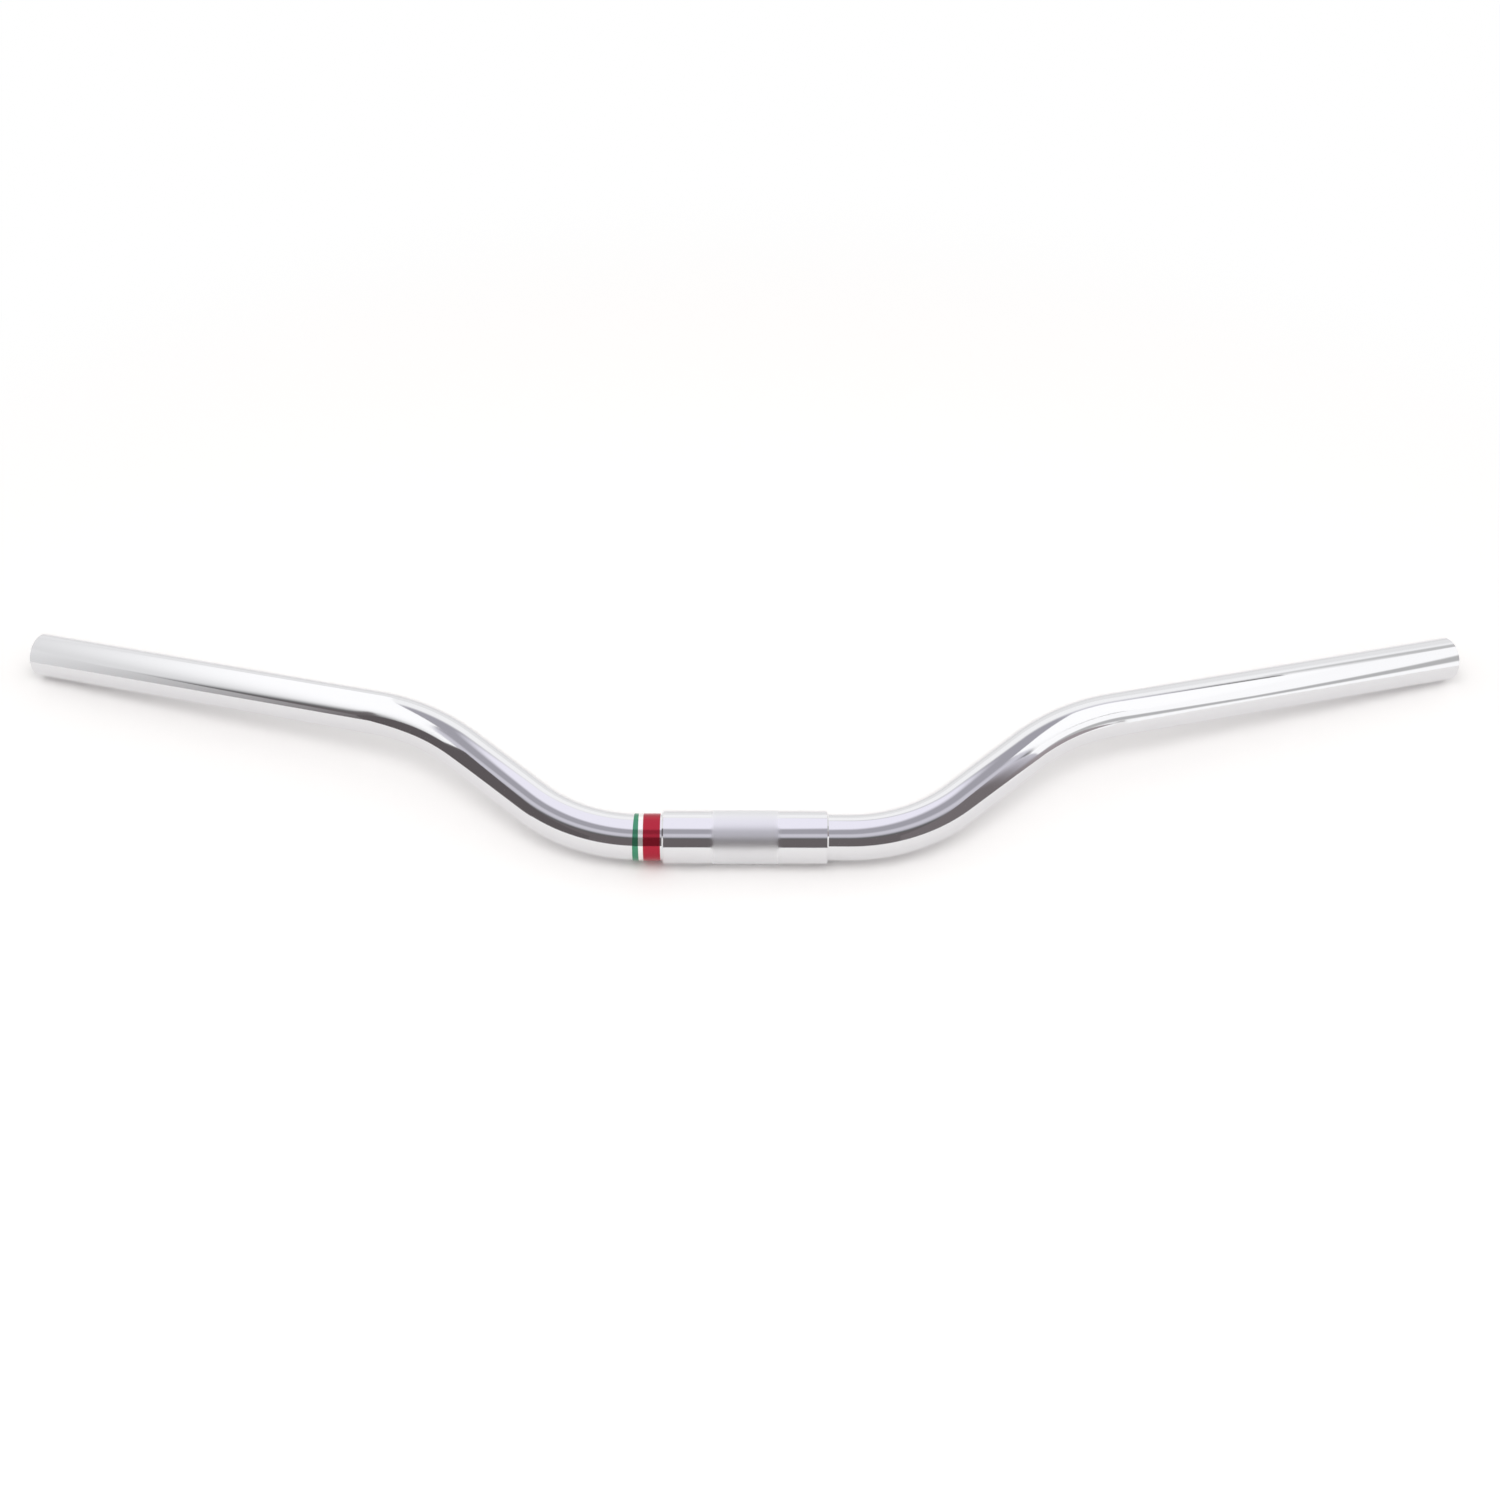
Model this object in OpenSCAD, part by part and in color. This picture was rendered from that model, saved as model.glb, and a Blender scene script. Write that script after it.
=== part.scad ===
// Riser handlebar for a bicycle, in millimetres.
// It lies as it rests: the clamp sleeve and the two tube ends touch the surface, and the bends are lifted.
// X runs along the clamp, Y points to the grips and Z points up. The origin is the middle of the clamp.

/* [Tube] */
// Outside diameter of the tube, where the grips and levers go
tube_d = 22.2; // [21:0.1:23]
// Wall thickness of the tube
tube_wall = 2; // [1.4:0.1:3]
// How much less the radius is in the bends, where bending leaves a tube slimmer
bend_slim = 0.04; // [0.03:0.01:0.1]
// Chamfer on the outer rim of each tube end
rim_chamfer = 0.6; // [0.2:0.1:0.8]
// Chamfer on the inner rim of each tube end
mouth_chamfer = 0.4; // [0.1:0.1:0.5]

/* [Rise] */
// Distance from the middle of the bar to the corner of the lower bend
rise_start = 79; // [75:1:100]
// Angle between the clamp and the rise
rise_angle = 41; // [32:1:48]
// Length of the rise between the corners of its two bends
rise_len = 103; // [90:1:140]
// Angle at which the rise stands up from the surface that the bar lies on
lift_angle = 12; // [8:1:20]
// Centreline radius of the lower bend
lower_bend_r = 80; // [50:1:88]
// Centreline radius of the upper bend
upper_bend_r = 120; // [60:1:140]

/* [Grips] */
// Length from the corner of the upper bend to the tube end
grip_len = 222; // [180:1:260]
// Angle that the grips sweep towards the rider, seen from above
sweep_angle = 18.5; // [10:0.5:26]

/* [Clamp sleeve] */
// Outside diameter of the sleeve, which the stem clamps
clamp_d = 25.4; // [25:0.1:31.8]
// Length of the sleeve
sleeve_len = 78; // [50:1:80]
// Chamfer on the outer rim of each sleeve end
sleeve_chamfer = 0.7; // [0.2:0.1:0.9]

/* [Film band] */
// Gap of bare tube between the sleeve and the film
film_gap = 0.8; // [0:0.1:3]
// Width of the film along the tube
film_w = 12.6; // [6:0.1:18]
// Thickness of the film
film_t = 0.15; // [0.1:0.05:0.4]

/* [Hidden] */
$fn = 96;
tube_r = tube_d / 2;
bore_r = tube_r - tube_wall;
clamp_r = clamp_d / 2;
film_r = tube_r + film_t;
cut_past = 1;
// Every straight runs this far into its bends, so that the stretches cross and don't just touch
lap = 1;

// Corners and directions of the right half's centreline
clamp_dir = [1, 0, 0];
rise_dir = [
    cos(rise_angle),
    sin(rise_angle) * cos(lift_angle),
    sin(rise_angle) * sin(lift_angle)
];
lower_corner = rise_start * clamp_dir;
upper_corner = lower_corner + rise_len * rise_dir;

// The grip drops until the edge behind its rim chamfer is level with the underside of the sleeve
edge_len = grip_len - rim_chamfer;
edge_height = clamp_r + upper_corner[2];
drop_angle = asin(edge_height / norm([edge_len, tube_r])) - atan2(tube_r, edge_len);
grip_dir = [
    cos(drop_angle) * cos(sweep_angle),
    cos(drop_angle) * sin(sweep_angle),
    -sin(drop_angle)
];

// Each bend turns by the angle between its two straights and takes this much of both
upper_turn = acos(rise_dir * grip_dir);
lower_set = lower_bend_r * tan(rise_angle / 2);
upper_set = upper_bend_r * tan(upper_turn / 2);

// Half of the middle straight, and the whole length of the others, with the laps
mid_half = rise_start - lower_set + lap;
rise_run = rise_len - lower_set - upper_set + 2 * lap;
grip_run = grip_len - upper_set + lap;

film_from = sleeve_len / 2 + film_gap;
film_to = film_from + film_w;
film_turn = (film_to - mid_half + lap) / lower_bend_r * 180 / PI;

function unit(v) = v / norm(v);
// Direction from the start of a bend to its centre: what is left of the new direction, square to the old one
function inward(from_dir, to_dir) = unit(to_dir - (from_dir * to_dir) * from_dir);

// Puts children at a point, with their X and Y axes along two square directions
module aligned(at, x_dir, y_dir) {
    z_dir = cross(x_dir, y_dir);
    multmatrix([
        [x_dir[0], y_dir[0], z_dir[0], at[0]],
        [x_dir[1], y_dir[1], z_dir[1], at[1]],
        [x_dir[2], y_dir[2], z_dir[2], at[2]]
    ]) children();
}

// One bend of a tube with this radius in its straights; set_back is the distance from the corner to its start
module bend(corner, from_dir, to_dir, radius, set_back, turn, r) {
    to_centre = inward(from_dir, to_dir);
    aligned(corner - set_back * from_dir + radius * to_centre, -to_centre, from_dir)
        rotate_extrude(angle = turn)
            translate([radius, 0])
                circle(r = r - bend_slim);
}

// Puts children, drawn along Z, where the straight after a bend starts
module after_bend(corner, from_dir, to_dir, set_back) {
    side = unit(cross(from_dir, to_dir));
    aligned(corner + (set_back - lap) * to_dir, side, cross(to_dir, side)) children();
}

// The lower bend on the right, turned by the angle given
module lower_bend(turn, r) bend(lower_corner, clamp_dir, rise_dir, lower_bend_r, lower_set, turn, r);

// A stretch along X between two distances from the middle
module clamp_run(from, to, r) translate([from, 0, 0]) rotate([0, 90, 0]) cylinder(r = r, h = to - from);

// The whole bar swept with one radius; the child is a grip, drawn along Z
module swept_bar(r) {
    clamp_run(-mid_half, mid_half, r);
    for (side = [0, 1])
        mirror([side, 0, 0]) {
            lower_bend(rise_angle, r);
            after_bend(lower_corner, clamp_dir, rise_dir, lower_set) cylinder(r = r, h = rise_run);
            bend(upper_corner, rise_dir, grip_dir, upper_bend_r, upper_set, upper_turn, r);
            after_bend(upper_corner, rise_dir, grip_dir, upper_set) children();
        }
}

// Outside of one grip, with its rim chamfer
module grip_outside() {
    rotate_extrude()
        polygon([
            [0, 0],
            [tube_r, 0],
            [tube_r, grip_run - rim_chamfer],
            [tube_r - rim_chamfer, grip_run],
            [0, grip_run]
        ]);
}

// Inside of one grip, open past its mouth
module grip_inside() {
    rotate_extrude()
        polygon([
            [0, 0],
            [bore_r, 0],
            [bore_r, grip_run - mouth_chamfer],
            [bore_r + mouth_chamfer, grip_run],
            [bore_r + mouth_chamfer, grip_run + cut_past],
            [0, grip_run + cut_past]
        ]);
}

// One length of drawn tube, bent at four places and open at both ends
module handlebar_tube() {
    color("silver")
        difference() {
            swept_bar(tube_r) grip_outside();
            swept_bar(bore_r) grip_inside();
        }
}

// Turned sleeve pressed over the middle of the tube
module clamp_sleeve() {
    color("gainsboro")
        rotate([0, 90, 0])
            rotate_extrude()
                polygon([
                    [tube_r, -sleeve_len / 2],
                    [clamp_r - sleeve_chamfer, -sleeve_len / 2],
                    [clamp_r, -sleeve_len / 2 + sleeve_chamfer],
                    [clamp_r, sleeve_len / 2 - sleeve_chamfer],
                    [clamp_r - sleeve_chamfer, sleeve_len / 2],
                    [tube_r, sleeve_len / 2]
                ]);
}

// Coloured film wrapped round the tube beside the sleeve, on the left; it follows the tube into the bend
module film_band() {
    color("crimson")
        mirror([1, 0, 0])
            difference() {
                union() {
                    clamp_run(film_from, min(film_to, mid_half), film_r);
                    if (film_to > mid_half) lower_bend(film_turn, film_r);
                }
                clamp_run(film_from - cut_past, mid_half, tube_r);
                lower_bend(rise_angle, tube_r);
            }
}

handlebar_tube();
clamp_sleeve();
film_band();
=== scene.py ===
"""Riser handlebar of polished aluminium, lying on a white floor in soft studio light."""

from math import asin, atan2, cos, degrees, hypot, pi, radians, sin, tan

import bmesh
import bpy
from mathutils import Euler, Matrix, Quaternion, Vector


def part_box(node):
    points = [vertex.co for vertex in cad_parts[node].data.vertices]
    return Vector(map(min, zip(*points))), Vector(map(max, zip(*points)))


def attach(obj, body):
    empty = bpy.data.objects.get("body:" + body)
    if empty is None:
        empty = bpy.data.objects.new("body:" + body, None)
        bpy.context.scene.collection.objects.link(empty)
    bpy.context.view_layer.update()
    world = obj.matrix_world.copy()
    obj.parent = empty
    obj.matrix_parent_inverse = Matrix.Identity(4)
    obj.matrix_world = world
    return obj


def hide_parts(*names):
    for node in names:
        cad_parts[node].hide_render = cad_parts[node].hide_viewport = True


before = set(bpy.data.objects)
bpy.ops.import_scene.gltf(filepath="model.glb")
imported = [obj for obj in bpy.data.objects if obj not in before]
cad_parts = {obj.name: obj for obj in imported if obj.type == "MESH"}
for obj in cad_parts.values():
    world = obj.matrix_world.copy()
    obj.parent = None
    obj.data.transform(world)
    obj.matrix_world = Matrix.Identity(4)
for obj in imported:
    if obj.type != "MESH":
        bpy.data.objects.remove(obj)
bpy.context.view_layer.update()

bl_info = {
    "name": "Riser Handlebar",
    "version": (1, 0, 0),
    "blender": (4, 5, 0),
    "location": "View3D > Sidebar > Handlebar",
    "description": "Builds a polished riser handlebar with its clamp sleeve, film band and studio",
    "category": "Add Mesh",
}

MM = 0.001
BODY = "root"
TUBE_NODE = "handlebar_tube"
SLEEVE_NODE = "clamp_sleeve"
FILM_NODE = "film_band"

# The bar lies as the frame has it: X along the clamp, Y from the clamp to the grips, Z up
SLEEVE_LOW, SLEEVE_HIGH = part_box(SLEEVE_NODE)
FILM_LOW, FILM_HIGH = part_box(FILM_NODE)
FLOOR_Z = SLEEVE_LOW.z

ROOF_CENTRE = Vector((-0.02, 0.1, 0.25))
PAPER = "FCFAF9"
# The camera and mirrored rays see the paper brighter by this factor, as in a generously exposed print
PAPER_GAIN = 1.22
# Strength of everything that the metal mirrors above the floor
TENT_GLOW = 1.08

# Segments round the tube, and the angle that one segment of a bend turns by
ROUND_SEGMENTS = 128
BEND_STEP_DEG = 1.25
MERGE_DISTANCE = 0.01 * MM
SMOOTH_ANGLE = radians(30)


class TubeSettings(bpy.types.PropertyGroup):
    """Sizes of the bent tube"""

    diameter: bpy.props.FloatProperty(
        name="Diameter", description="Outside diameter of the tube",
        default=22.2 * MM, unit="LENGTH")
    wall: bpy.props.FloatProperty(
        name="Wall", description="Wall thickness of the tube",
        default=2 * MM, unit="LENGTH")
    rise_start: bpy.props.FloatProperty(
        name="Rise start", description="Distance from the middle of the bar to the corner of the lower bend",
        default=79 * MM, unit="LENGTH")
    rise_angle: bpy.props.FloatProperty(
        name="Rise angle", description="Angle between the clamp and the rise",
        default=radians(41), subtype="ANGLE")
    rise_length: bpy.props.FloatProperty(
        name="Rise length", description="Length of the rise between the corners of its two bends",
        default=103 * MM, unit="LENGTH")
    lift_angle: bpy.props.FloatProperty(
        name="Lift angle", description="Angle at which the rise stands up from the floor",
        default=radians(12), subtype="ANGLE")
    lower_bend: bpy.props.FloatProperty(
        name="Lower bend", description="Centreline radius of the lower bend",
        default=80 * MM, unit="LENGTH")
    upper_bend: bpy.props.FloatProperty(
        name="Upper bend", description="Centreline radius of the upper bend",
        default=120 * MM, unit="LENGTH")
    grip_length: bpy.props.FloatProperty(
        name="Grip length", description="Length from the corner of the upper bend to the tube end",
        default=222 * MM, unit="LENGTH")
    sweep_angle: bpy.props.FloatProperty(
        name="Sweep angle", description="Angle that the grips sweep back by, seen from above",
        default=radians(18.5), subtype="ANGLE")
    rim_chamfer: bpy.props.FloatProperty(
        name="Rim chamfer", description="Chamfer on the outer rim of each tube end",
        default=0.6 * MM, unit="LENGTH")
    mouth_chamfer: bpy.props.FloatProperty(
        name="Mouth chamfer", description="Chamfer on the inner rim of each tube end",
        default=0.4 * MM, unit="LENGTH")


class FinishSettings(bpy.types.PropertyGroup):
    """Colours and finishes of the bar"""

    metal: bpy.props.StringProperty(
        name="Metal", description="Colour of the polished aluminium as an sRGB hex value",
        default="DEDEE0")
    polish: bpy.props.FloatProperty(
        name="Polish", description="Roughness of the polished metal",
        default=0.07, min=0, max=1, subtype="FACTOR")
    bore: bpy.props.FloatProperty(
        name="Bore", description="Roughness of the drawn metal inside the tube",
        default=0.5, min=0, max=1, subtype="FACTOR")
    satin: bpy.props.FloatProperty(
        name="Satin", description="Roughness of the blasted zone in the middle of the sleeve",
        default=0.42, min=0, max=1, subtype="FACTOR")
    satin_width: bpy.props.FloatProperty(
        name="Satin width", description="Width of the blasted zone",
        default=31 * MM, unit="LENGTH")
    red: bpy.props.StringProperty(
        name="Red", description="Colour of the wide stripe as an sRGB hex value", default="AE263A")
    white: bpy.props.StringProperty(
        name="White", description="Colour of the middle stripe as an sRGB hex value", default="F4F1EE")
    green: bpy.props.StringProperty(
        name="Green", description="Colour of the outer stripe as an sRGB hex value", default="488E6F")
    red_width: bpy.props.FloatProperty(
        name="Red width", description="Width of the red stripe, beside the sleeve",
        default=8 * MM, unit="LENGTH")
    white_width: bpy.props.FloatProperty(
        name="White width", description="Width of the white stripe", default=2.2 * MM, unit="LENGTH")


class StageSettings(bpy.types.PropertyGroup):
    """Camera and light of the studio"""

    tilt: bpy.props.FloatProperty(
        name="Tilt", description="Angle that the camera looks down by", default=radians(41.977), subtype="ANGLE")
    turn: bpy.props.FloatProperty(
        name="Turn", description="Angle that the camera is turned by to the right", default=radians(0.249), subtype="ANGLE")
    roll: bpy.props.FloatProperty(
        name="Roll", description="Angle that the camera is rolled by", default=radians(0.3185), subtype="ANGLE")
    lens: bpy.props.FloatProperty(
        name="Lens", description="Focal length on a sensor 36 mm wide", default=48.69, subtype="DISTANCE_CAMERA")
    dome: bpy.props.FloatProperty(
        name="Dome", description="Strength of the even light from all sides", default=0.7, min=0)
    lamp: bpy.props.FloatProperty(
        name="Lamp", description="Power of the lamp above the bar, a little to the front",
        default=6.7, min=0, unit="POWER")


def tube_settings():
    return bpy.context.scene.handlebar_tube


def finish_settings():
    return bpy.context.scene.handlebar_finish


def stage_settings():
    return bpy.context.scene.handlebar_stage


def linear(hex_colour):
    """An sRGB hex value as a linear colour with alpha 1."""
    channels = [int(hex_colour[i:i + 2], 16) / 255 for i in (0, 2, 4)]
    return [c / 12.92 if c <= 0.04045 else ((c + 0.055) / 1.055) ** 2.4 for c in channels] + [1]


def grey(level):
    return [level, level, level, 1]


def lavender(level):
    return [0.98 * level, 0.96 * level, 1.06 * level, 1]


def charcoal(level):
    return [1.07 * level, 0.95 * level, 0.98 * level, 1]


def add_node(tree, kind, settings=None, inputs=None):
    """Adds a node, sets its properties, and sets or links its inputs."""
    node = tree.nodes.new(kind)
    for name, value in (settings or {}).items():
        setattr(node, name, value)
    for name, value in (inputs or {}).items():
        if isinstance(value, bpy.types.NodeSocket):
            tree.links.new(value, node.inputs[name])
        else:
            node.inputs[name].default_value = value
    return node


def new_material(name):
    """An empty material and its node tree."""
    material = bpy.data.materials.new(name)
    material.use_nodes = True
    material.node_tree.nodes.clear()
    return material, material.node_tree


def calc(tree, operation, a, b=0.0):
    return add_node(tree, "ShaderNodeMath", {"operation": operation}, {0: a, 1: b}).outputs[0]


def ramp_up(tree, value, low, high):
    """Rises smoothly from 0 to 1 as value goes from low to high."""
    settings = {"interpolation_type": "SMOOTHSTEP"}
    return add_node(tree, "ShaderNodeMapRange", settings,
                    {"Value": value, "From Min": low, "From Max": high}).outputs["Result"]


def band(tree, value, low, high, soft):
    """1 between low and high, 0 outside, with a soft edge on both sides."""
    up = ramp_up(tree, value, low - soft, low + soft)
    down = ramp_up(tree, value, high - soft, high + soft)
    return calc(tree, "MULTIPLY", up, calc(tree, "SUBTRACT", 1.0, down))


def mix_colour(tree, factor, a, b):
    inputs = {"Factor": factor, 6: a, 7: b}
    return add_node(tree, "ShaderNodeMix", {"data_type": "RGBA"}, inputs).outputs[2]


def object_x(tree):
    """The place along the clamp, in metres."""
    coordinates = add_node(tree, "ShaderNodeTexCoord").outputs["Object"]
    return add_node(tree, "ShaderNodeSeparateXYZ", None, {0: coordinates}).outputs["X"]


def finish_surface(tree, shader):
    add_node(tree, "ShaderNodeOutputMaterial", None, {"Surface": shader})


def in_bore(tree, tube):
    """1 on the wall of the hollow behind the tube's two mouths, 0 outside."""
    bar = Bar(tube)
    coordinates = add_node(tree, "ShaderNodeTexCoord").outputs["Object"]
    axes = add_node(tree, "ShaderNodeSeparateXYZ", None, {0: coordinates}).outputs
    right_half = add_node(tree, "ShaderNodeCombineXYZ", None, {
        "X": calc(tree, "ABSOLUTE", axes["X"]), "Y": axes["Y"], "Z": axes["Z"]}).outputs[0]
    from_end = add_node(tree, "ShaderNodeVectorMath", {"operation": "SUBTRACT"}, {
        0: right_half, 1: bar.end}).outputs[0]
    across = add_node(tree, "ShaderNodeVectorMath", {"operation": "CROSS_PRODUCT"}, {
        0: from_end, 1: bar.grip}).outputs[0]
    from_axis = add_node(tree, "ShaderNodeVectorMath", {"operation": "LENGTH"}, {0: across}).outputs["Value"]
    along = add_node(tree, "ShaderNodeVectorMath", {"operation": "DOT_PRODUCT"}, {
        0: from_end, 1: bar.grip}).outputs["Value"]
    bore_radius = tube.diameter / 2 - tube.wall
    inside = calc(tree, "SUBTRACT", 1.0, ramp_up(tree, from_axis, bore_radius + 0.1 * MM, bore_radius + 0.3 * MM))
    return calc(tree, "MULTIPLY", inside, ramp_up(tree, along, -bar.grip_run, -0.9 * bar.grip_run))


def polished_tube_material():
    """Aluminium tube, drawn dull inside, and buffed along its length outside: a mirror with slightly soft edges."""
    finish = finish_settings()
    material, tree = new_material("polished aluminium, buffed tube")
    roughness = add_node(tree, "ShaderNodeMapRange", None, {
        "Value": in_bore(tree, tube_settings()),
        "To Min": finish.polish, "To Max": finish.bore}).outputs["Result"]
    shader = add_node(tree, "ShaderNodeBsdfPrincipled", None, {
        "Base Color": linear(finish.metal), "Metallic": 1.0, "Roughness": roughness})
    finish_surface(tree, shader.outputs[0])
    return material


def polished_sleeve_material():
    """Turned aluminium sleeve, buffed at both ends and bead-blasted in the middle, which turns soft grey there."""
    finish = finish_settings()
    material, tree = new_material("polished aluminium, blasted middle")
    half = finish.satin_width / 2
    blasted = band(tree, object_x(tree), -half, half, 2 * MM)
    roughness = add_node(tree, "ShaderNodeMapRange", None, {
        "Value": blasted, "To Min": finish.polish, "To Max": finish.satin}).outputs["Result"]
    shader = add_node(tree, "ShaderNodeBsdfPrincipled", None, {
        "Base Color": linear(finish.metal), "Metallic": 1.0, "Roughness": roughness})
    finish_surface(tree, shader.outputs[0])
    return material


def striped_film_material():
    """Printed vinyl film, glossy: a wide red stripe beside the sleeve, then a white and a green one."""
    finish = finish_settings()
    material, tree = new_material("glossy vinyl film, printed stripes")
    x = object_x(tree)
    red_end = FILM_HIGH.x - finish.red_width
    white_end = red_end - finish.white_width
    edge = 0.1 * MM
    outer = mix_colour(tree, ramp_up(tree, x, white_end - edge, white_end + edge),
                       linear(finish.green), linear(finish.white))
    colour = mix_colour(tree, ramp_up(tree, x, red_end - edge, red_end + edge), outer, linear(finish.red))
    shader = add_node(tree, "ShaderNodeBsdfPrincipled", None, {
        "Base Color": colour, "Metallic": 0.75, "Roughness": 0.1})
    finish_surface(tree, shader.outputs[0])
    return material


def deselect():
    """Nothing is left selected, so that an operator acts on the new piece alone."""
    if bpy.context.mode != "OBJECT":
        bpy.ops.object.mode_set(mode="OBJECT")
    bpy.ops.object.select_all(action="DESELECT")


def edit_mesh():
    return bmesh.from_edit_mesh(bpy.context.object.data)


def select_vertices(test):
    """Selects the vertices of the mesh in edit mode that pass the test, and the edges between them."""
    bpy.ops.mesh.select_mode(type="VERT")
    bpy.ops.mesh.select_all(action="DESELECT")
    mesh = edit_mesh()
    for vertex in mesh.verts:
        vertex.select = test(vertex.co)
    mesh.select_flush(True)
    bmesh.update_edit_mesh(bpy.context.object.data)


def start_ring(name, centre, axis, radius):
    """Adds a circle of vertices round an axis, as a new object in edit mode with the ring selected."""
    deselect()
    turn = Vector((0, 0, 1)).rotation_difference(axis).to_euler()
    bpy.ops.mesh.primitive_circle_add(vertices=ROUND_SEGMENTS, radius=radius, location=centre, rotation=turn)
    piece = bpy.context.object
    piece.name = name
    piece.data.name = name
    bpy.ops.object.transform_apply(location=True, rotation=True, scale=True)
    bpy.ops.object.mode_set(mode="EDIT")
    bpy.ops.mesh.select_all(action="SELECT")
    return piece


def pull(offset, scale=1.0, centre=None):
    """Extrudes the selected ring by an offset, and grows it about a centre."""
    bpy.ops.mesh.extrude_region_move(TRANSFORM_OT_translate={"value": offset})
    if scale != 1.0:
        bpy.ops.transform.resize(value=(scale, scale, scale), center_override=centre)


def swing(centre, axis, angle):
    """Spins the selected ring about an axis, which makes a bend; the operator turns left-handed."""
    steps = max(2, round(degrees(angle) / BEND_STEP_DEG))
    bpy.ops.mesh.spin(steps=steps, angle=-angle, center=centre, axis=axis, use_auto_merge=False)


def close_piece(material, node):
    """Ends edit mode with clean outward faces and smooth shading, and puts the piece in the node's place."""
    bpy.ops.mesh.select_all(action="SELECT")
    bpy.ops.mesh.remove_doubles(threshold=MERGE_DISTANCE)
    bpy.ops.mesh.normals_make_consistent(inside=False)
    bpy.ops.object.mode_set(mode="OBJECT")
    piece = bpy.context.object
    bpy.ops.object.shade_smooth_by_angle(angle=SMOOTH_ANGLE)
    piece.data.materials.clear()
    piece.data.materials.append(material)
    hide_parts(node)
    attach(piece, BODY)
    return piece


class Bar:
    """Corners, directions and bends of the right half's centreline, from the tube's settings."""

    def __init__(self, tube):
        self.clamp = Vector((1, 0, 0))
        lift = tube.lift_angle
        turn = tube.rise_angle
        self.rise = Vector((cos(turn), sin(turn) * cos(lift), sin(turn) * sin(lift)))
        self.lower_corner = tube.rise_start * self.clamp
        self.upper_corner = self.lower_corner + tube.rise_length * self.rise
        # The grip drops until the edge behind its rim chamfer is level with the underside of the sleeve
        edge_length = tube.grip_length - tube.rim_chamfer
        edge_height = self.upper_corner.z - FLOOR_Z
        radius = tube.diameter / 2
        drop = asin(edge_height / hypot(edge_length, radius)) - atan2(radius, edge_length)
        sweep = tube.sweep_angle
        self.grip = Vector((cos(drop) * cos(sweep), cos(drop) * sin(sweep), -sin(drop)))
        self.end = self.upper_corner + tube.grip_length * self.grip
        self.upper_turn = self.rise.angle(self.grip)
        self.lower_set = tube.lower_bend * tan(turn / 2)
        self.upper_set = tube.upper_bend * tan(self.upper_turn / 2)
        self.middle_half = tube.rise_start - self.lower_set
        self.rise_run = tube.rise_length - self.lower_set - self.upper_set
        self.grip_run = tube.grip_length - self.upper_set


def bend_centre(corner, before, after, radius, set_back):
    """Centre of a bend between two directions."""
    inward = (after - before.dot(after) * before).normalized()
    return corner - set_back * before + radius * inward


class HANDLEBAR_OT_tube(bpy.types.Operator):
    """Draws the bent tube: a ring pulled and spun along one half, mirrored, and given its wall"""

    bl_idname = "handlebar.tube"
    bl_label = "Bent Tube"

    def execute(self, context):
        tube = tube_settings()
        bar = Bar(tube)
        radius = tube.diameter / 2
        piece = start_ring("bent_tube", (0, 0, 0), bar.clamp, radius)
        pull(bar.middle_half * bar.clamp)
        lower = bend_centre(bar.lower_corner, bar.clamp, bar.rise, tube.lower_bend, bar.lower_set)
        swing(lower, bar.clamp.cross(bar.rise), tube.rise_angle)
        pull(bar.rise_run * bar.rise)
        upper = bend_centre(bar.upper_corner, bar.rise, bar.grip, tube.upper_bend, bar.upper_set)
        swing(upper, bar.rise.cross(bar.grip), bar.upper_turn)
        pull(bar.grip_run * bar.grip)

        bpy.ops.object.mode_set(mode="OBJECT")
        mirror = piece.modifiers.new("Other half", "MIRROR")
        mirror.merge_threshold = MERGE_DISTANCE
        bpy.ops.object.modifier_apply(modifier=mirror.name)
        bpy.ops.object.mode_set(mode="EDIT")
        bpy.ops.mesh.select_all(action="SELECT")
        bpy.ops.mesh.remove_doubles(threshold=MERGE_DISTANCE)
        bpy.ops.mesh.normals_make_consistent(inside=False)
        bpy.ops.object.mode_set(mode="OBJECT")
        wall = piece.modifiers.new("Wall", "SOLIDIFY")
        wall.thickness = tube.wall
        wall.offset = -1
        wall.use_even_offset = True
        bpy.ops.object.modifier_apply(modifier=wall.name)

        bpy.ops.object.mode_set(mode="EDIT")
        self.chamfer_rims(bar, radius, tube.rim_chamfer)
        self.chamfer_rims(bar, radius - tube.wall, tube.mouth_chamfer)
        close_piece(polished_tube_material(), TUBE_NODE)
        return {"FINISHED"}

    def chamfer_rims(self, bar, radius, width):
        """Bevels the ring of edges with this radius at both tube ends."""
        slack = 0.05 * MM

        def on_rim(co):
            right_half = Vector((abs(co.x), co.y, co.z))
            from_end = right_half - bar.end
            along = from_end.dot(bar.grip)
            out = (from_end - along * bar.grip).length
            return abs(along) < slack and abs(out - radius) < slack

        select_vertices(on_rim)
        bpy.ops.mesh.bevel(offset=width, offset_type="OFFSET", segments=1, affect="EDGES")


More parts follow.
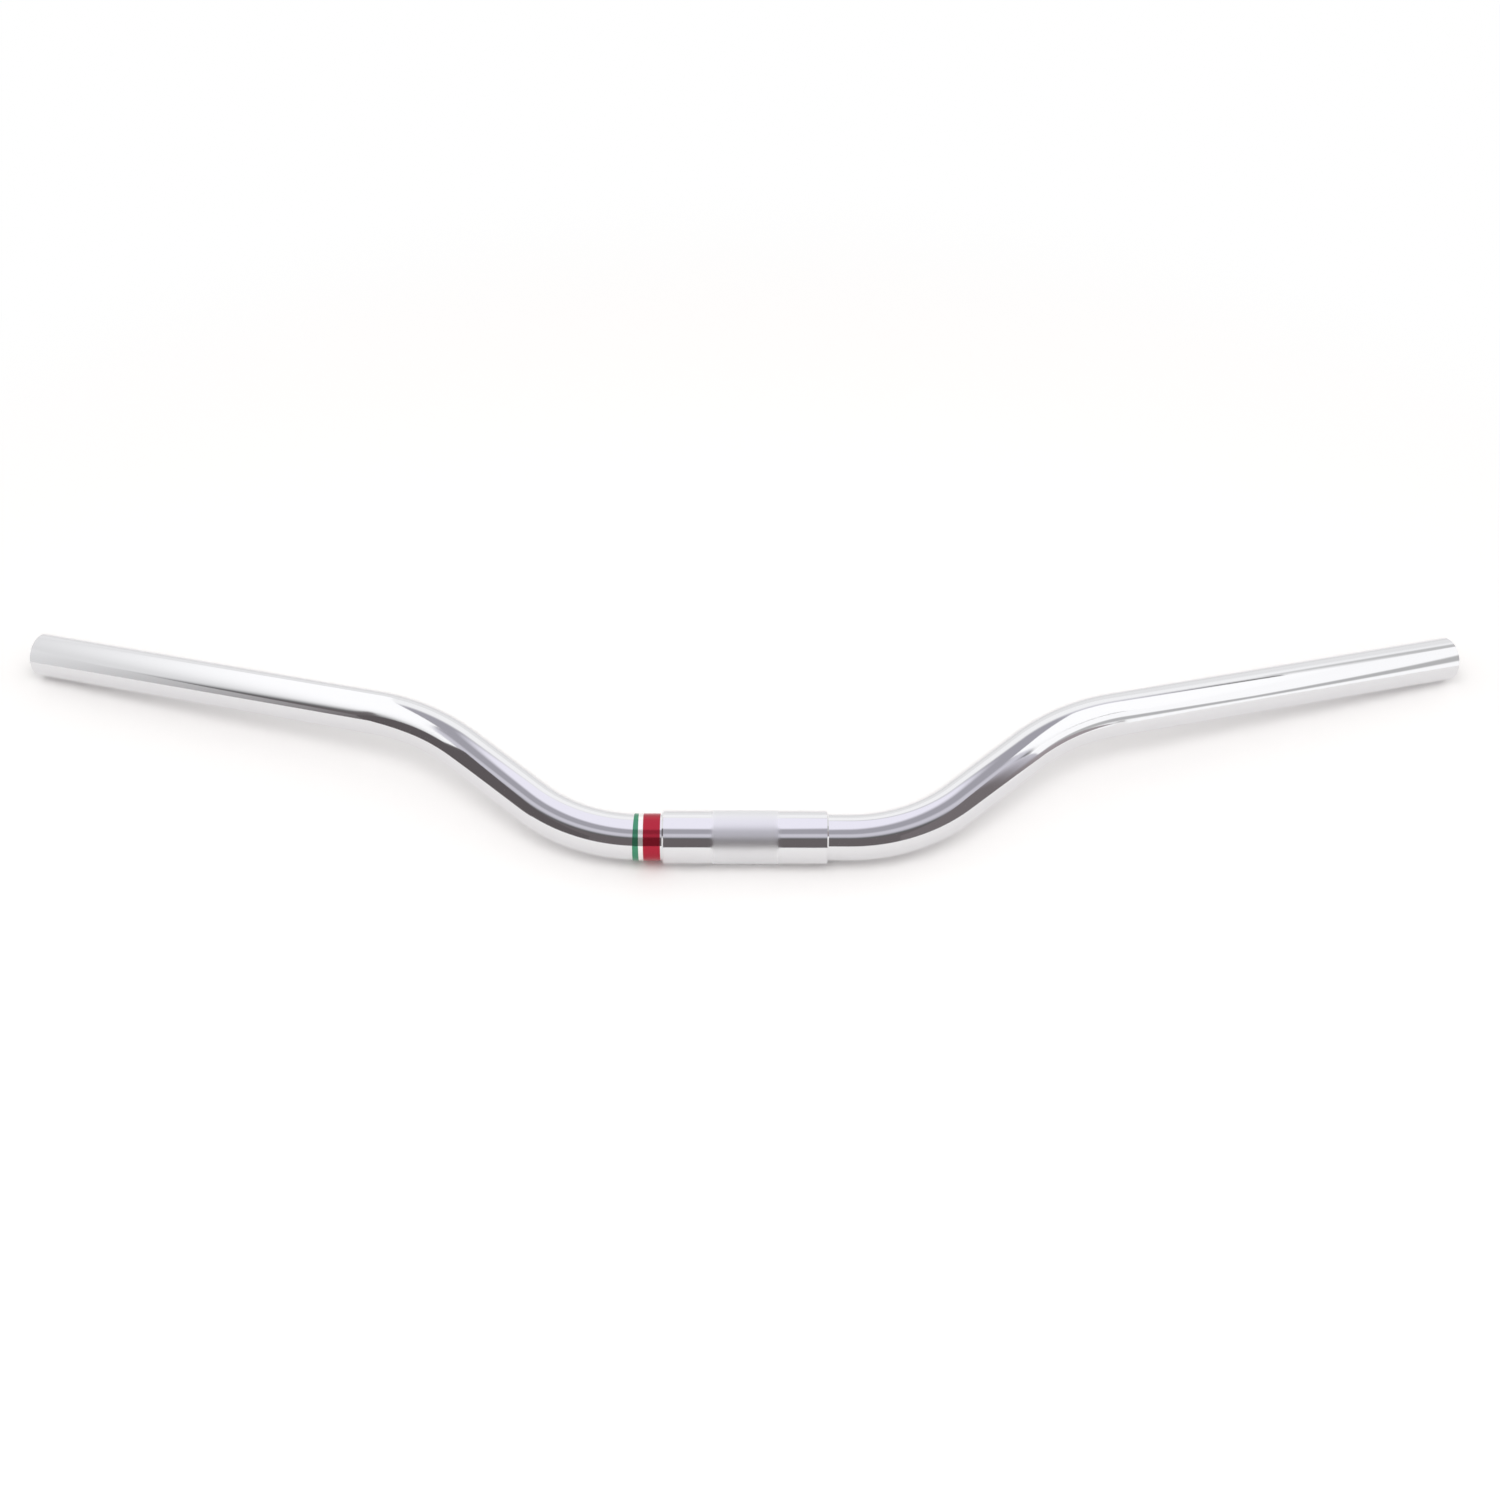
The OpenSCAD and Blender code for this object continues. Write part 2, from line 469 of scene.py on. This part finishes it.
class HANDLEBAR_OT_sleeve(bpy.types.Operator):
    """Turns the clamp sleeve: a ring pulled out to its shoulder, along the clamp and back in"""

    bl_idname = "handlebar.sleeve"
    bl_label = "Clamp Sleeve"

    chamfer: bpy.props.FloatProperty(
        name="Chamfer", description="Chamfer on the outer rim of each sleeve end",
        default=0.7 * MM, unit="LENGTH")

    def execute(self, context):
        inner = tube_settings().diameter / 2
        outer = SLEEVE_HIGH.z
        shoulder = outer - self.chamfer
        start = SLEEVE_LOW.x
        end = SLEEVE_HIGH.x
        start_ring("turned_sleeve", (start, 0, 0), Vector((1, 0, 0)), inner)
        pull((0, 0, 0), shoulder / inner, (start, 0, 0))
        pull((self.chamfer, 0, 0), outer / shoulder, (start + self.chamfer, 0, 0))
        pull((end - start - 2 * self.chamfer, 0, 0))
        pull((self.chamfer, 0, 0), shoulder / outer, (end, 0, 0))
        pull((0, 0, 0), inner / shoulder, (end, 0, 0))
        pull((start - end, 0, 0))
        close_piece(polished_sleeve_material(), SLEEVE_NODE)
        return {"FINISHED"}


class HANDLEBAR_OT_film(bpy.types.Operator):
    """Wraps the film band: a ring along the tube beside the sleeve and into the bend, given its thickness"""

    bl_idname = "handlebar.film"
    bl_label = "Film Band"

    thickness: bpy.props.FloatProperty(
        name="Thickness", description="Thickness of the film", default=0.15 * MM, unit="LENGTH")
    width: bpy.props.FloatProperty(
        name="Width", description="Width of the film along the tube", default=12.6 * MM, unit="LENGTH")

    def execute(self, context):
        tube = tube_settings()
        bar = Bar(tube)
        left = Vector((-1, 1, 1))
        clamp = bar.clamp * left
        rise = bar.rise * left
        corner = bar.lower_corner * left
        outer = tube.diameter / 2 + self.thickness
        start = FILM_HIGH.x
        straight = bar.middle_half + start
        piece = start_ring("wrapped_film", (start, 0, 0), clamp, outer)
        pull(straight * clamp)
        centre = bend_centre(corner, clamp, rise, tube.lower_bend, bar.lower_set)
        swing(centre, clamp.cross(rise), (self.width - straight) / tube.lower_bend)

        bpy.ops.mesh.select_all(action="SELECT")
        bpy.ops.mesh.remove_doubles(threshold=MERGE_DISTANCE)
        bpy.ops.mesh.normals_make_consistent(inside=False)
        bpy.ops.object.mode_set(mode="OBJECT")
        wall = piece.modifiers.new("Film thickness", "SOLIDIFY")
        wall.thickness = self.thickness
        wall.offset = -1
        bpy.ops.object.modifier_apply(modifier=wall.name)
        bpy.ops.object.mode_set(mode="EDIT")
        close_piece(striped_film_material(), FILM_NODE)
        return {"FINISHED"}


class HANDLEBAR_OT_stage(bpy.types.Operator):
    """Sets the white floor, the light tent that the metal mirrors, the lamps and the camera"""

    bl_idname = "handlebar.stage"
    bl_label = "Studio"

    def execute(self, context):
        stage = stage_settings()
        self.floor()
        self.world(stage)
        self.tent()
        self.lamp(stage)
        self.camera(stage)
        context.scene.view_settings.view_transform = "Standard"
        return {"FINISHED"}

    def floor(self):
        """White paper, warm in its shadows, and plain white wherever nothing shades it and far from the bar."""
        material, tree = new_material("white paper")
        path = add_node(tree, "ShaderNodeLightPath").outputs
        seen = calc(tree, "MAXIMUM", path["Is Camera Ray"],
                    calc(tree, "MAXIMUM", path["Is Glossy Ray"], path["Is Transmission Ray"]))
        plain = linear(PAPER)
        colour = mix_colour(tree, seen, plain, [PAPER_GAIN * channel for channel in plain])
        paper = add_node(tree, "ShaderNodeBsdfDiffuse", None, {"Color": colour})
        white = add_node(tree, "ShaderNodeEmission", None, {"Color": linear("FFFFFF"), "Strength": 1.0})
        place = add_node(tree, "ShaderNodeTexCoord").outputs["Object"]
        from_bar = add_node(tree, "ShaderNodeVectorMath", {"operation": "LENGTH"}, {0: place}).outputs["Value"]
        far = calc(tree, "MULTIPLY", seen, ramp_up(tree, from_bar, 0.42, 0.7))
        surface = add_node(tree, "ShaderNodeMixShader", None, {0: far, 1: paper.outputs[0], 2: white.outputs[0]})
        finish_surface(tree, surface.outputs[0])
        deselect()
        bpy.ops.mesh.primitive_plane_add(size=12, location=(0, 0, FLOOR_Z))
        self.set_up(bpy.context.object, "floor", material)

    def world(self, stage):
        """Even light for the floor, white behind the bar, and for the metal a pale room with a dark front."""
        world = bpy.data.worlds.new("studio")
        bpy.context.scene.world = world
        world.use_nodes = True
        tree = world.node_tree
        tree.nodes.clear()
        direction = add_node(tree, "ShaderNodeTexCoord").outputs["Generated"]
        axes = add_node(tree, "ShaderNodeSeparateXYZ", None, {0: direction}).outputs
        height = calc(tree, "MULTIPLY", calc(tree, "ARCSINE", axes["Z"]), 180 / pi)
        level = calc(tree, "SQRT", calc(tree, "MAXIMUM", 1e-6, calc(
            tree, "SUBTRACT", 1.0, calc(tree, "MULTIPLY", axes["Z"], axes["Z"]))))
        front = calc(tree, "DIVIDE", calc(tree, "MULTIPLY", axes["Y"], -1.0), level)
        right = calc(tree, "DIVIDE", axes["X"], level)

        colour = mix_colour(tree, ramp_up(tree, height, 26, 42), grey(0.95), grey(1.12))
        at_horizon = calc(tree, "SUBTRACT", 1.0, ramp_up(tree, height, 3, 14))
        colour = mix_colour(tree, at_horizon, colour, grey(0.84))
        right_gap = calc(tree, "MULTIPLY", ramp_up(tree, right, 0.5, 0.7), band(tree, height, 40, 50, 3))
        colour = mix_colour(tree, right_gap, colour, grey(0.62))
        is_front = ramp_up(tree, front, 0.08, 0.28)
        colour = mix_colour(tree, is_front, colour, charcoal(0.15))

        mirrored = add_node(tree, "ShaderNodeBackground", None, {"Color": colour, "Strength": TENT_GLOW})
        white = add_node(tree, "ShaderNodeBackground", None, {"Color": linear("FFFFFF"), "Strength": 1.0})
        dome = add_node(tree, "ShaderNodeBackground", None, {"Color": linear("FFFFFF"), "Strength": stage.dome})
        path = add_node(tree, "ShaderNodeLightPath").outputs
        mixed = add_node(tree, "ShaderNodeMixShader", None, {
            0: path["Is Glossy Ray"], 1: dome.outputs[0], 2: mirrored.outputs[0]})
        mixed = add_node(tree, "ShaderNodeMixShader", None, {
            0: path["Is Transmission Ray"], 1: mixed.outputs[0], 2: white.outputs[0]})
        mixed = add_node(tree, "ShaderNodeMixShader", None, {
            0: path["Is Camera Ray"], 1: mixed.outputs[0], 2: white.outputs[0]})
        add_node(tree, "ShaderNodeOutputWorld", None, {"Surface": mixed.outputs[0]})

    def tent(self):
        """A light tent round the bar, seen in the metal alone: a round roof light, two panels and side walls."""
        self.roof_light()
        self.side_panel("left_panel", (-1.1, -0.25), (-0.35, 0.55), self.left_panel_paint,
                        (((-0.25, 0.09, 0), (-1.4, 1, 0)),))
        self.side_panel("right_panel", (0.225, 1.1), (-0.35, 0.2), self.right_panel_paint,
                        (((0.318, 0.004, 0), (0.6, 1, 0)),))
        left_wall = self.card_material("white side cloth", self.left_wall_paint)
        self.wall("left_wall", Vector((-0.45, -0.2)), Vector((-0.45, 0.3)), (FLOOR_Z, 0.085), left_wall)
        right_wall = self.card_material("white side board", self.right_wall_paint)
        heights = (FLOOR_Z, 0.29)
        self.wall("right_front_wall", Vector((0.29, -0.035)), Vector((0.47, -0.08)), heights, right_wall)
        self.wall("right_wall", Vector((0.47, -0.08)), Vector((0.47, 0.2)), heights, right_wall)
        black = self.card_material("black flag cloth", self.left_flag_paint)
        self.wall("left_flag", Vector((-0.2, -0.25)), Vector((-0.2, 0.024)), (0.008, 0.1), black)
        self.wall("left_low_flag", Vector((-0.2, 0.024)), Vector((-0.2, 0.07)), (0.008, 0.06), black,
                  (((0, 0.06, 0.018), (0, -0.95, -1)), ((0, 0.035, 0.008), (0, -0.45, 1))))
        dark = self.card_material("grey flag cloth", self.right_flag_paint)
        self.wall("right_flag", Vector((0.2, -0.25)), Vector((0.2, 0.017)), (0.008, 0.13), dark)
        self.wall("right_low_flag", Vector((0.2, 0.017)), Vector((0.2, 0.07)), (0.008, 0.04), dark,
                  (((0, 0.05, 0.014), (0, -0.55, -1)), ((0, 0.02, 0.008), (0, -0.3, 1))))

    def card_material(self, name, paint):
        """A glowing surface; paint turns its place in the room into its colour."""
        material, tree = new_material(name)
        place = add_node(tree, "ShaderNodeTexCoord").outputs["Object"]
        glow = add_node(tree, "ShaderNodeEmission", None, {
            "Color": paint(tree, place), "Strength": TENT_GLOW})
        finish_surface(tree, glow.outputs[0])
        return material

    def roof_light(self):
        """Round diffuser with a darker rim, a pale ring and a soft dark edge, open to the white room behind."""
        material = self.card_material("roof diffuser", self.roof_paint)
        deselect()
        bpy.ops.mesh.primitive_circle_add(vertices=64, radius=0.45, fill_type="NGON",
                                          location=ROOF_CENTRE + Vector((0, 0, 0.002)))
        self.glossy_only("roof_light", material)

    def roof_paint(self, tree, place):
        from_centre = add_node(tree, "ShaderNodeVectorMath", {"operation": "DISTANCE"}, {
            0: place, 1: ROOF_CENTRE}).outputs["Value"]
        y = add_node(tree, "ShaderNodeSeparateXYZ", None, {0: place}).outputs["Y"]
        colour = mix_colour(tree, ramp_up(tree, from_centre, 0.13, 0.175), lavender(1.05), lavender(0.44))
        colour = mix_colour(tree, ramp_up(tree, from_centre, 0.24, 0.285), colour, lavender(0.72))
        colour = mix_colour(tree, ramp_up(tree, from_centre, 0.32, 0.43), colour, grey(0.14))
        return mix_colour(tree, ramp_up(tree, y, 0.2, 0.28), colour, grey(1.1))

    def side_panel(self, name, x_range, y_range, paint, cuts=()):
        """Level panel over one grip, beside the roof light."""
        material = self.card_material(name.replace("_", " "), paint)
        low = Vector((x_range[0], y_range[0], ROOF_CENTRE.z))
        high = Vector((x_range[1], y_range[1], ROOF_CENTRE.z))
        size = high - low
        deselect()
        bpy.ops.mesh.primitive_plane_add(size=1, location=(low + high) / 2)
        bpy.context.object.scale = (size.x, size.y, 1)
        self.trim(cuts)
        self.glossy_only(name, material)

    def trim(self, cuts):
        """Cuts the card off behind planes, each given as a place and the direction to keep."""
        bpy.ops.object.transform_apply(location=True, rotation=True, scale=True)
        bpy.ops.object.mode_set(mode="EDIT")
        for place, keep in cuts:
            bpy.ops.mesh.select_all(action="SELECT")
            bpy.ops.mesh.bisect(plane_co=place, plane_no=keep, clear_inner=True)
        bpy.ops.object.mode_set(mode="OBJECT")

    def left_panel_paint(self, tree, place):
        axes = add_node(tree, "ShaderNodeSeparateXYZ", None, {0: place}).outputs
        colour = mix_colour(tree, ramp_up(tree, axes["X"], -0.6, -0.34), grey(0.88), grey(1.25))
        return mix_colour(tree, ramp_up(tree, axes["Y"], -0.31, -0.06), grey(0.16), colour)

    def right_panel_paint(self, tree, place):
        x = add_node(tree, "ShaderNodeSeparateXYZ", None, {0: place}).outputs["X"]
        return mix_colour(tree, ramp_up(tree, x, 0.4, 0.65), grey(1.25), grey(1.08))

    def wall(self, name, start, end, heights, material, cuts=()):
        """Upright card between two places in plan and two heights."""
        along = end - start
        middle = (start + end) / 2
        low, high = heights
        deselect()
        bpy.ops.mesh.primitive_plane_add(
            size=1, location=(middle.x, middle.y, (low + high) / 2),
            rotation=(pi / 2, 0, atan2(along.y, along.x)))
        bpy.context.object.scale = (along.length, high - low, 1)
        self.trim(cuts)
        self.glossy_only(name, material)

    def left_wall_paint(self, tree, place):
        """Fades to dark at the front."""
        y = add_node(tree, "ShaderNodeSeparateXYZ", None, {0: place}).outputs["Y"]
        from_front = add_node(tree, "ShaderNodeMapRange", None, {
            "Value": y, "From Min": -0.2, "From Max": 0.1}).outputs["Result"]
        return mix_colour(tree, from_front, charcoal(0.14), grey(0.92))

    def left_flag_paint(self, tree, place):
        """Keeps the stripe on the left rise dark."""
        return charcoal(0.12)

    def right_flag_paint(self, tree, place):
        """Fades towards its back edge, most of all at the top, as the stripe on the right rise narrows."""
        axes = add_node(tree, "ShaderNodeSeparateXYZ", None, {0: place}).outputs
        back = mix_colour(tree, ramp_up(tree, axes["Z"], 0.02, 0.045), charcoal(0.38), lavender(0.74))
        return mix_colour(tree, ramp_up(tree, axes["Y"], -0.015, 0.025), charcoal(0.19), back)

    def right_wall_paint(self, tree, place):
        """White, with a darker seam."""
        z = add_node(tree, "ShaderNodeSeparateXYZ", None, {0: place}).outputs["Z"]
        return mix_colour(tree, band(tree, z, 0.035, 0.085, 0.01), grey(1.2), grey(0.56))

    def glossy_only(self, name, material):
        """The active object becomes a card that only reflections see."""
        card = bpy.context.object
        self.set_up(card, name, material)
        card.visible_camera = False
        card.visible_diffuse = False
        card.visible_shadow = False
        card.visible_transmission = False

    def set_up(self, thing, name, material):
        """Names a thing of the stage, bakes its place into its mesh and gives it its material."""
        thing.name = name
        bpy.ops.object.transform_apply(location=True, rotation=True, scale=True)
        thing.data.materials.append(material)

    def lamp(self, stage):
        """A large lamp above, a little to the front, which keeps the shadow close to the bar."""
        deselect()
        bpy.ops.object.light_add(type="AREA", location=(0, -0.55, 1.5))
        lamp = bpy.context.object
        lamp.name = "top_lamp"
        lamp.rotation_euler = (-lamp.location).to_track_quat("-Z", "Y").to_euler()
        lamp.data.shape = "RECTANGLE"
        lamp.data.size = 1.4
        lamp.data.size_y = 0.8
        lamp.data.energy = stage.lamp
        lamp.visible_glossy = False
        lamp.visible_camera = False

    def camera(self, stage):
        deselect()
        bpy.ops.object.camera_add(location=Vector((-0.93, -683.91, 670.70)) * MM)
        camera = bpy.context.object
        camera.name = "photo_camera"
        look = Euler((pi / 2 - stage.tilt, 0, -stage.turn)).to_quaternion()
        camera.rotation_euler = (look @ Quaternion((0, 0, 1), stage.roll)).to_euler()
        camera.data.sensor_width = 36
        camera.data.lens = stage.lens
        camera.data.clip_start = 0.01
        bpy.context.scene.camera = camera


class HANDLEBAR_PT_panel(bpy.types.Panel):
    """Lists the pieces of the handlebar and their settings"""

    bl_label = "Handlebar"
    bl_idname = "HANDLEBAR_PT_panel"
    bl_space_type = "VIEW_3D"
    bl_region_type = "UI"
    bl_category = "Handlebar"

    def draw(self, context):
        layout = self.layout
        for operator in OPERATORS:
            layout.operator(operator.bl_idname)
        for settings in (tube_settings(), finish_settings(), stage_settings()):
            for name in settings.__annotations__:
                layout.prop(settings, name)


OPERATORS = (HANDLEBAR_OT_tube, HANDLEBAR_OT_sleeve, HANDLEBAR_OT_film, HANDLEBAR_OT_stage)
SETTINGS = {"handlebar_tube": TubeSettings, "handlebar_finish": FinishSettings, "handlebar_stage": StageSettings}


def register():
    for settings in SETTINGS.values():
        bpy.utils.register_class(settings)
    for operator in OPERATORS:
        bpy.utils.register_class(operator)
    bpy.utils.register_class(HANDLEBAR_PT_panel)
    for name, settings in SETTINGS.items():
        setattr(bpy.types.Scene, name, bpy.props.PointerProperty(type=settings))


def unregister():
    for name in SETTINGS:
        delattr(bpy.types.Scene, name)
    bpy.utils.unregister_class(HANDLEBAR_PT_panel)
    for operator in reversed(OPERATORS):
        bpy.utils.unregister_class(operator)
    for settings in reversed(SETTINGS.values()):
        bpy.utils.unregister_class(settings)


def main():
    register()
    bpy.ops.handlebar.tube()
    bpy.ops.handlebar.sleeve()
    bpy.ops.handlebar.film()
    bpy.ops.handlebar.stage()


if __name__ == "__main__":
    main()
